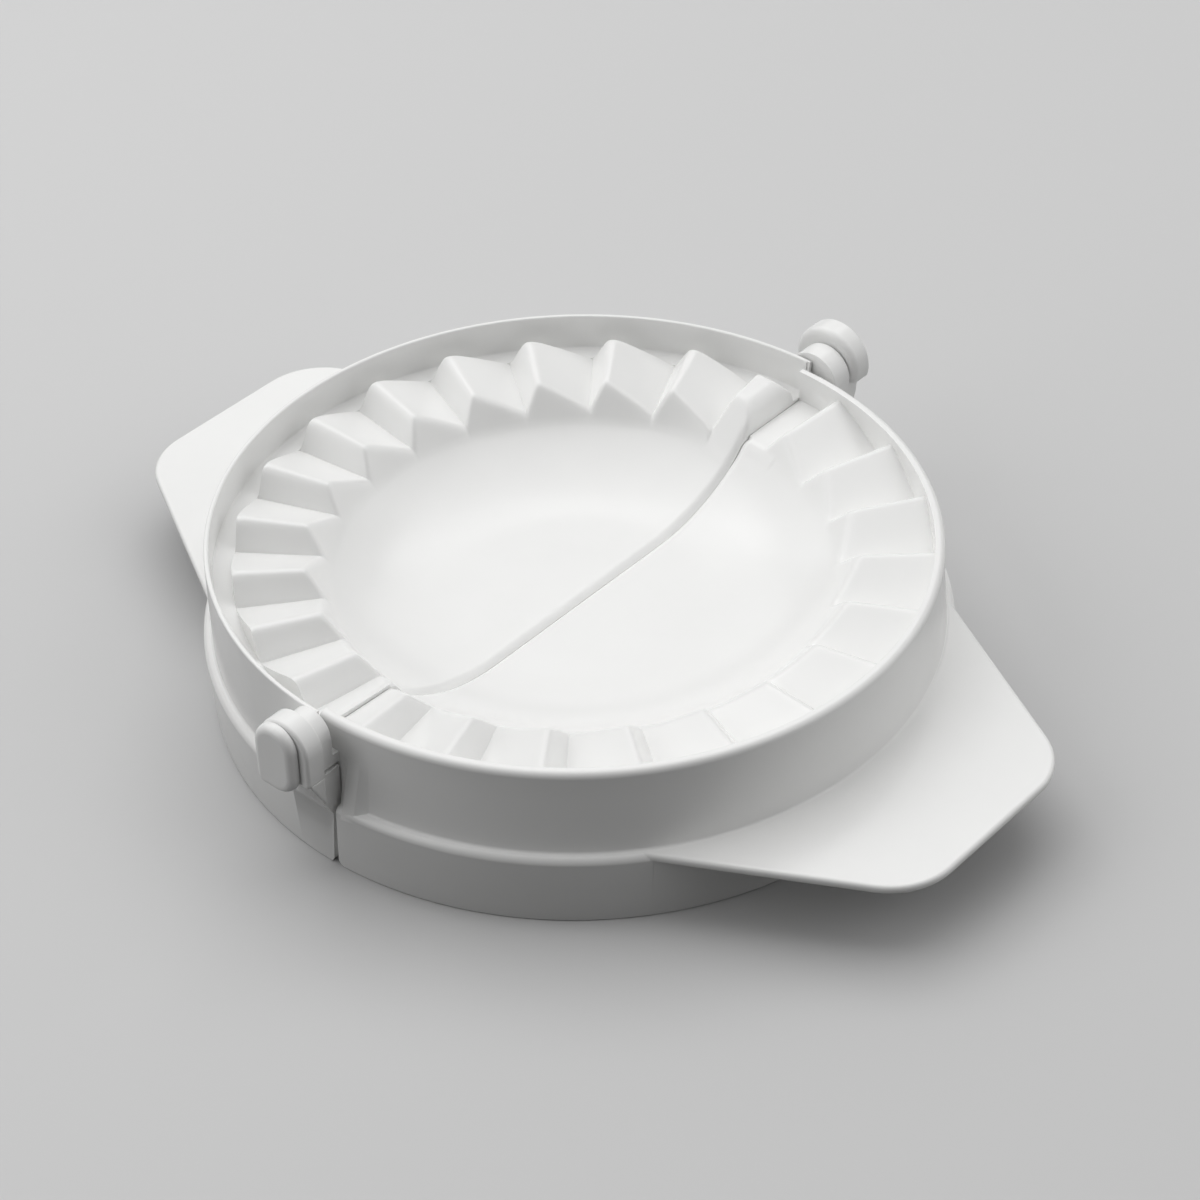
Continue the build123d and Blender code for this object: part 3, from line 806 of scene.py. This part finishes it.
# %% [markdown]
# ## Finger tabs
#
# Each half has a thin flat tab, level with the ledge, for two fingers.  Its corners are large, and
# its edges are soft all round, because that is where the hand presses.  A mirrored copy could serve
# the second half, but a mirror turns faces inside out.  So one function draws both, on either side.
# The tab is cut by a circle, so that only a narrow foot of it sinks into the ledge.

# %% Tab helper
TAB_THICKNESS = 1.3
TAB_EDGE = 0.55
TAB_ROOT = (36.0, 33.5)     # hidden inside the ledge
TAB_CORNER = (69.0, 15.4)
TAB_CORNER_ROUND = 10.0
TAB_SINK = 1.0
TAB_HOLE_STEPS = 256
TAB_HOLE_LEVELS = (0, 30)   # taller than the tab


def finger_tab(side):
    """Thin plate with two round corners and soft edges, on side 1 or -1."""
    (root_x, root_y), (end_x, end_y) = TAB_ROOT, TAB_CORNER
    outline = rounded([
        (side * root_x, root_y, 0),
        (side * end_x, end_y, TAB_CORNER_ROUND),
        (side * end_x, -end_y, TAB_CORNER_ROUND),
        (side * root_x, -root_y, 0),
    ])
    tab = slab("z", outline, LEDGE_LEVEL - TAB_THICKNESS, LEDGE_LEVEL, TAB_EDGE, TAB_EDGE)
    body = circle(0, 0, LEDGE_RADIUS - TAB_SINK, TAB_HOLE_STEPS)
    return shape_with(tab, "DIFFERENCE", slab("z", body, *TAB_HOLE_LEVELS))


print("the tabs end", TAB_CORNER[0], "mm from the middle")

# %% [markdown]
# ## Hinge parts of the half that stays down
#
# At the near end it carries a small barrel for the pin, on a web that grows out of the wall, and a
# post that leans back until it vanishes in the wall.  At the far end there is a taller lug with a
# stud, and a rib beside it.  Plain cylinders and cubes would be quicker, but their edges would look
# cut and not moulded, so each of these is a slab with its own rounding, joined to the shell.

# %% Sizes of the lugs
PIN_RADIUS = 1.7
STUD_RADIUS = 2.4
BARREL_RADIUS = 3.1
BARREL_ENDS = (-49.65, -52.0)
WEB_LEFT = 0.3
WEB_END = -51.9
ROOT_START = 48.3           # the roots start inside the wall, and reach up to their top
ROOT_TOP = 18.9
POST_FOOT = 9.6
FAR_LUG_CENTRE = (0.6, 21.2)
FAR_LUG_RADIUS = 4.1
FAR_LUG_ENDS = (49.65, 53.0)
STUD_ENDS = (52.5, 55.6)
RIB_ENDS = (3.72, 4.65)
CRISP = 0.15                # rounding of edges that look almost sharp
print("the barrel is", round(BARREL_ENDS[0] - BARREL_ENDS[1], 2), "mm long")


# %% Near post
def near_post():
    """Post that stands on the ledge and tapers off into the wall."""
    foot = rounded([
        (3.75, -47.6, 0), (3.75, -49.9, 0.3), (4.6, -50.6, 0.4),
        (6.4, -50.2, 0.6), (8.4, -48.4, 0.2), (8.4, -47.6, 0),
    ])
    top = rounded([
        (3.75, -47.6, 0), (3.75, -48.3, 0.1), (4.6, -48.3, 0.2),
        (6.4, -48.1, 0.3), (8.0, -47.8, 0.1), (8.2, -47.6, 0),
    ])
    levels = ((foot, POST_FOOT), (top, ROOT_TOP))
    return closed_mesh("post", [[(*point, level) for point in outline] for outline, level in levels])


print("the post rises from", POST_FOOT, "to", ROOT_TOP, "mm")


# %% Fixed half: join lugs, stud and tab
def root(left, right, top):
    """Plain upright outline from the lugs' foot to a level."""
    return sharp((left, LUG_FOOT), (right, LUG_FOOT), (right, top), (left, top))


upper_turns = [math.pi * step / 40 for step in range(41)]
lower_turns = [math.pi * step / 20 for step in range(21, 30)]
far_lug = around(*FAR_LUG_CENTRE, FAR_LUG_RADIUS, upper_turns + lower_turns)
far_lug += sharp((0.6, LUG_FOOT), (4.7, LUG_FOOT))
rib = sharp((48.0, POST_FOOT), (50.5, POST_FOOT), (52.95, 15.0), (52.95, 17.5), (48.0, 17.5))
shape_with(
    fixed_half, "UNION",
    finger_tab(1),
    near_post(),
    slab("y", root(WEB_LEFT, BARREL_RADIUS, ROOT_TOP), -ROOT_START, WEB_END),
    slab("y", root(WEB_LEFT, BARREL_RADIUS, AXIS), BARREL_ENDS[0], WEB_END),
    slab("y", circle(0, AXIS, BARREL_RADIUS), *BARREL_ENDS, CRISP, CRISP),
    slab("y", root(0.6, 4.6, ROOT_TOP), ROOT_START, STUD_ENDS[0]),
    slab("y", far_lug, *FAR_LUG_ENDS, 0.1, 0.3),
    slab("y", circle(0, AXIS, STUD_RADIUS), *STUD_ENDS, 0, 0.3),
    slab("x", rib, *RIB_ENDS),
)
pin_hole = slab("y", circle(0, AXIS, PIN_RADIUS), -49.0, -53.0)
shape_with(fixed_half, "DIFFERENCE", pin_hole)
print("fixed half:", len(fixed_half.data.polygons), "faces")

# %% [markdown]
# ## The shell of the half that swings over
#
# Its rim is thinner and taller, and comes down outside the other one, so a groove runs between the
# teeth and the rim to take the other lip.  It could be a mirrored copy of the first half with another
# rim, but its teeth stand at other angles, so it is turned and crimped with sizes of its own.  Its
# skirt runs on past the middle at both ends, up to the slanted seam, while everything above the skirt
# is cut back.

# %% Swinging half: shell
SWING_TURN = (84.5, 275.5)
SWING_FIRST_RIDGE = 110.6
SWING_RING_END = 46.0
GROOVE_LEVEL = 18.9
LIP_INSIDE = 48.8
LIP_OUTSIDE = 49.45
LIP_TOP = 24.3
LIP_ROUND = 0.25
NEVER = 400.0               # an angle that no point reaches

swing_rim = [                                               # radius, level, round
    (46.05, GROOVE_LEVEL, 0),
    (LIP_INSIDE, GROOVE_LEVEL, 0.3),
    (LIP_INSIDE, LIP_TOP, LIP_ROUND),
    (LIP_OUTSIDE, LIP_TOP, LIP_ROUND),
]
swing_half = turned(
    "swing_half_moulding", *wall_section(SWING_RING_END, swing_rim), SWING_FIRST_RIDGE, SWING_TURN
)
crimp(swing_half, crimp_rule, {
    "First ridge": SWING_FIRST_RIDGE, "Angle start": 0,
    "Teeth from": SWING_FIRST_RIDGE + (STEEP_SHARE - 1) * PITCH - HAIR, "Teeth to": NEVER,
    "Ridge inner": 21.5, "Ridge outer": 22.8, "Valley outer": 18.7,
    "Foot radius": 34.1, "Lean": 1 / 0.60,
    "Teeth end": SWING_RING_END, "Shoulder level": 22.3,
    "Low level": 0.0, "Low from": NEVER, "Bar level": 22.5,
})
print("swinging half, uncut:", len(swing_half.data.polygons), "faces")

# %% Swinging half: cut to the parting plane and the seam
LIP_END = 0.45              # the lip itself ends this far past the middle
WALL_CUT_TOP = 19.3         # the wall under the lip stops at the parting plane
SKIRT_INSIDE = 48.95

swing_seam = rounded([                                      # x, z, round
    (-2, -1, 0), (-2, 0, 0),
    (SEAM_FOOT, 0, SEAM_ROUND),
    (SEAM_TOP, SEAM_TOP_LEVEL, 0),
    (SEAM_TOP, 12, 0), (10, 12, 0), (10, -1, 0),
])
shape_with(
    swing_half, "DIFFERENCE",
    brick((SEAM_TOP, FAR), ALL_DEPTH, ALL_LEVELS),
    brick((-PARTING_GAP, FAR), (-SKIRT_INSIDE, SKIRT_INSIDE), ALL_LEVELS),
    brick((-PARTING_GAP, FAR), ALL_DEPTH, (LEDGE_LEVEL, WALL_CUT_TOP)),
    brick((LIP_END, FAR), ALL_DEPTH, (LEDGE_LEVEL, ALL_LEVELS[1])),
    slab("y", swing_seam, -60, 60),
)
print("swinging half, shell only:", len(swing_half.data.polygons), "faces")

# %% [markdown]
# ## Ears of the half that swings over
#
# At both ends a gusset grows out of the skirt and holds up an ear: an arch with a flat foot at the
# near end, and a big round knob with its lower side cut flat at the far end.  The ears sit outside
# the other half's lugs.  The near one has a hole for the pin, the far one a blind hole for the stud,
# and both holes are 0.05 mm larger in radius than what turns in them.  They are made as the lugs are:
# one outline each, pushed along the axis on which it looks simplest.

# %% Outlines of the gussets and ears
RUNNING_FIT = 0.05
NEAR_EAR_WIDTH = 4.15       # half of the near ear's width
NEAR_EAR_ENDS = (-52.15, -55.0)
NEAR_EAR_FOOT = 17.0
FAR_KNOB_RADIUS = 5.35
FAR_KNOB_ENDS = (53.2, 56.5)
FAR_KNOB_FLAT = 20.3        # right of the seam, the knob ends at this level

near_gusset = sharp(                                        # y, z
    (-SKIRT_INSIDE, 9.4), (-50.3, 9.4), (-54.5, 16.9), (-54.5, 17.5),
    (NEAR_EAR_ENDS[0], 17.5), (NEAR_EAR_ENDS[0], 16.9), (-SKIRT_INSIDE, 16.9),
)
near_cheek = rounded([
    (NEAR_EAR_ENDS[0], 12.7, 0), (-54.5, 16.9, 0.5), (-54.5, 17.5, 0), (NEAR_EAR_ENDS[0], 17.5, 0),
])
far_gusset = sharp(
    (SKIRT_INSIDE, 9.4), (50.3, 9.4), (56.0, 15.5), (56.45, 17.0),
    (56.45, 18.5), (53.25, 18.5), (53.25, 16.6), (SKIRT_INSIDE, 16.6),
)
arch_turns = [math.pi * step / 32 for step in range(33)]
near_ear = rounded([(*point, 0) for point in around(0, AXIS, NEAR_EAR_WIDTH, arch_turns)] + [
    (-NEAR_EAR_WIDTH, NEAR_EAR_FOOT, 0.8), (NEAR_EAR_WIDTH, NEAR_EAR_FOOT, 0.8),
])
print("the near ear has", len(near_ear), "points")

# %% Swinging half: join gussets, ears and tab
GUSSET_LEFT = -4.0
KNOB_STEPS = 96

knob_disc = slab("y", circle(0, AXIS, FAR_KNOB_RADIUS, KNOB_STEPS), *FAR_KNOB_ENDS, 1.0, CRISP)
below_flat = brick((SEAM_TOP, 9), (52, 58), (10, FAR_KNOB_FLAT))
far_knob = shape_with(knob_disc, "DIFFERENCE", below_flat)
shape_with(
    swing_half, "UNION",
    finger_tab(-1),
    slab("x", near_gusset, GUSSET_LEFT, SEAM_TOP),
    slab("x", near_cheek, 2.3, NEAR_EAR_WIDTH, 0, 0.3),
    slab("x", far_gusset, GUSSET_LEFT, 3.25),
    slab("y", near_ear, *NEAR_EAR_ENDS, 0.1, 0.5),
    far_knob,
)
shape_with(
    swing_half, "DIFFERENCE",
    slab("y", circle(0, AXIS, PIN_RADIUS + RUNNING_FIT), -52.0, -55.5),
    slab("y", circle(0, AXIS, STUD_RADIUS + RUNNING_FIT), 53.0, 55.8),
)
print("swinging half:", len(swing_half.data.polygons), "faces")

# %% [markdown]
# ## The pin
#
# A short shaft with a long flat head, pressed into the barrel of the lower half.  The head hangs
# further down than up, and its right-hand corner is rounded off much more than its left.  A stretched
# cylinder would round all corners alike, so the head is a slab from an outline with four radii.

# %% Hinge pin
HEAD_LEFT, HEAD_RIGHT = -3.9, 2.8
HEAD_BOTTOM, HEAD_TOP = 15.5, 25.7
HEAD_ENDS = (-55.1, -56.5)
HEAD_EDGE = 1.0
SHAFT_ENDS = (-55.3, -49.85)

head_outline = rounded([
    (HEAD_LEFT, HEAD_BOTTOM, 1.4), (HEAD_RIGHT, HEAD_BOTTOM, 3.2),
    (HEAD_RIGHT, HEAD_TOP, 3.0), (HEAD_LEFT, HEAD_TOP, 3.6),
])
head = slab("y", head_outline, *HEAD_ENDS, 0.1, HEAD_EDGE)
shaft = slab("y", circle(0, AXIS, PIN_RADIUS), *SHAFT_ENDS, 0, 0.3)
hinge_pin = shape_with(head, "UNION", shaft)
hinge_pin.name = "hinge_pin_moulding"
print("hinge pin:", len(hinge_pin.data.polygons), "faces")

# %% [markdown]
# ## Finish the surfaces and hand the pieces over
#
# Faces that meet at a small angle are shaded as one smooth surface, the others keep a crisp edge.
# More faces would smooth the curves too, at the price of a heavy model.  Normals are weighted by
# area, so a large flat face stays flat right up to its rounded border.  Each piece stands in for its
# CAD solid and rides on the same body.

# %% Give the material, shade and attach
SMOOTH_ANGLE = math.radians(32)
PIECES = (
    (fixed_half, "fixed_half", "fixed"),
    (swing_half, "swing_half", "swing"),
    (hinge_pin, "hinge_pin", "fixed"),
)

for piece, node, body in PIECES:
    mesh = piece.data
    mesh.materials.clear()
    mesh.materials.append(plastic)
    for attribute in [item for item in mesh.attributes if item.name == "on_top"]:
        mesh.attributes.remove(attribute)
    mesh.shade_smooth()
    mesh.set_sharp_from_angle(angle=SMOOTH_ANGLE)
    weighting = piece.modifiers.new("weighting", "WEIGHTED_NORMAL")
    weighting.mode = "FACE_AREA"
    weighting.keep_sharp = True
    freeze(piece)
    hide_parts(node)
    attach(piece, body)
    print(piece.name, "rides on", body)

# %% [markdown]
# ## The table
#
# A white press needs a pale table that is still darker than itself, or its outline is lost.  A
# plain pale sheet would throw light up at the press and flatten its walls.  So the table is pale to
# the camera and in reflections, and darker to the light that it throws back, and the walls fall off
# towards their foot.

# %% Floor
FLOOR_HALF = 1.6            # metres
FLOOR_PALE = 0.62
FLOOR_DARK = 0.10
FLOOR_ROUGHNESS = 0.9


def paper(name):
    """Matt grey paper, pale to the camera and in reflections, darker to the light it throws back."""
    material = bpy.data.materials.new(name)
    material.use_nodes = True
    tree = material.node_tree
    skin = tree.nodes["Principled BSDF"].inputs
    rays = {ray.socket.name: ray for ray in Value(tree).node("ShaderNodeLightPath").all_outputs()}
    reflected = maths("MAXIMUM", rays["Is Glossy Ray"], rays["Is Transmission Ray"])
    seen = maths("MAXIMUM", rays["Is Camera Ray"], reflected)
    grey = FLOOR_DARK + seen * (FLOOR_PALE - FLOOR_DARK)
    shade = grey.node("ShaderNodeCombineColor", sockets={"Red": grey, "Green": grey, "Blue": grey})
    plug(tree, skin["Base Color"], shade)
    skin["Roughness"].default_value = FLOOR_ROUGHNESS
    skin["Specular IOR Level"].default_value = 0.0
    return material


floor_mesh = bpy.data.meshes.new("studio_floor")
floor_corners = [(sx * FLOOR_HALF, sy * FLOOR_HALF, 0) for sx, sy in ((-1, -1), (1, -1), (1, 1), (-1, 1))]
floor_mesh.from_pydata(floor_corners, [], [(0, 1, 2, 3)])
floor_mesh.materials.append(paper("floor_paper"))
floor = link_to_scene(bpy.data.objects.new("studio_floor", floor_mesh))
print("the floor is", 2 * FLOOR_HALF, "metres wide")

# %% [markdown]
# ## The lamps
#
# White on white needs care: a clipped white shows no shape at all.  The main light is one large soft
# box above.  It lights what faces up and leaves the upright walls in shade, and that is what
# separates the rim from the wall below it.  A large box to the right models the bowl, weaker ones in
# front and on the left open up the teeth and the hinge, and one behind draws the bright line along
# the rim.  They are large because a small bright box would leave a hard white patch in the gloss.

# %% Lamps and world
LAMPS = (                   # name, place in mm, size in mm, power in watts
    ("overhead_box", (-150, 150, 700), 800, 3.1),
    ("right_box", (560, 500, 420), 1000, 3.3),
    ("left_box", (-560, -100, 420), 600, 1.2),
    ("front_box", (-300, -520, 380), 600, 1.5),
    ("back_box", (-500, 560, 620), 800, 1.3),
)
LAMP_AIM = Vector((0, 0, 10)) * MM
WORLD_STRENGTH = 0.08


def soft_lamp(name, place, size, power):
    """A square area lamp that points at the press."""
    data = bpy.data.lights.new(name, "AREA")
    data.size = size * MM
    data.energy = power
    lamp = link_to_scene(bpy.data.objects.new(name, data))
    lamp.location = Vector(place) * MM
    lamp.rotation_euler = (LAMP_AIM - lamp.location).to_track_quat("-Z", "Y").to_euler()
    return lamp


for lamp_sizes in LAMPS:
    soft_lamp(*lamp_sizes)
world = bpy.data.worlds.new("studio_world")
world.use_nodes = True
backdrop = world.node_tree.nodes["Background"].inputs
backdrop["Color"].default_value = (1, 1, 1, 1)
backdrop["Strength"].default_value = WORLD_STRENGTH
bpy.context.scene.world = world
bpy.context.scene.view_settings.view_transform = "Standard"
print(len(LAMPS), "soft boxes,", round(sum(power for *_, power in LAMPS), 1), "watts in all")
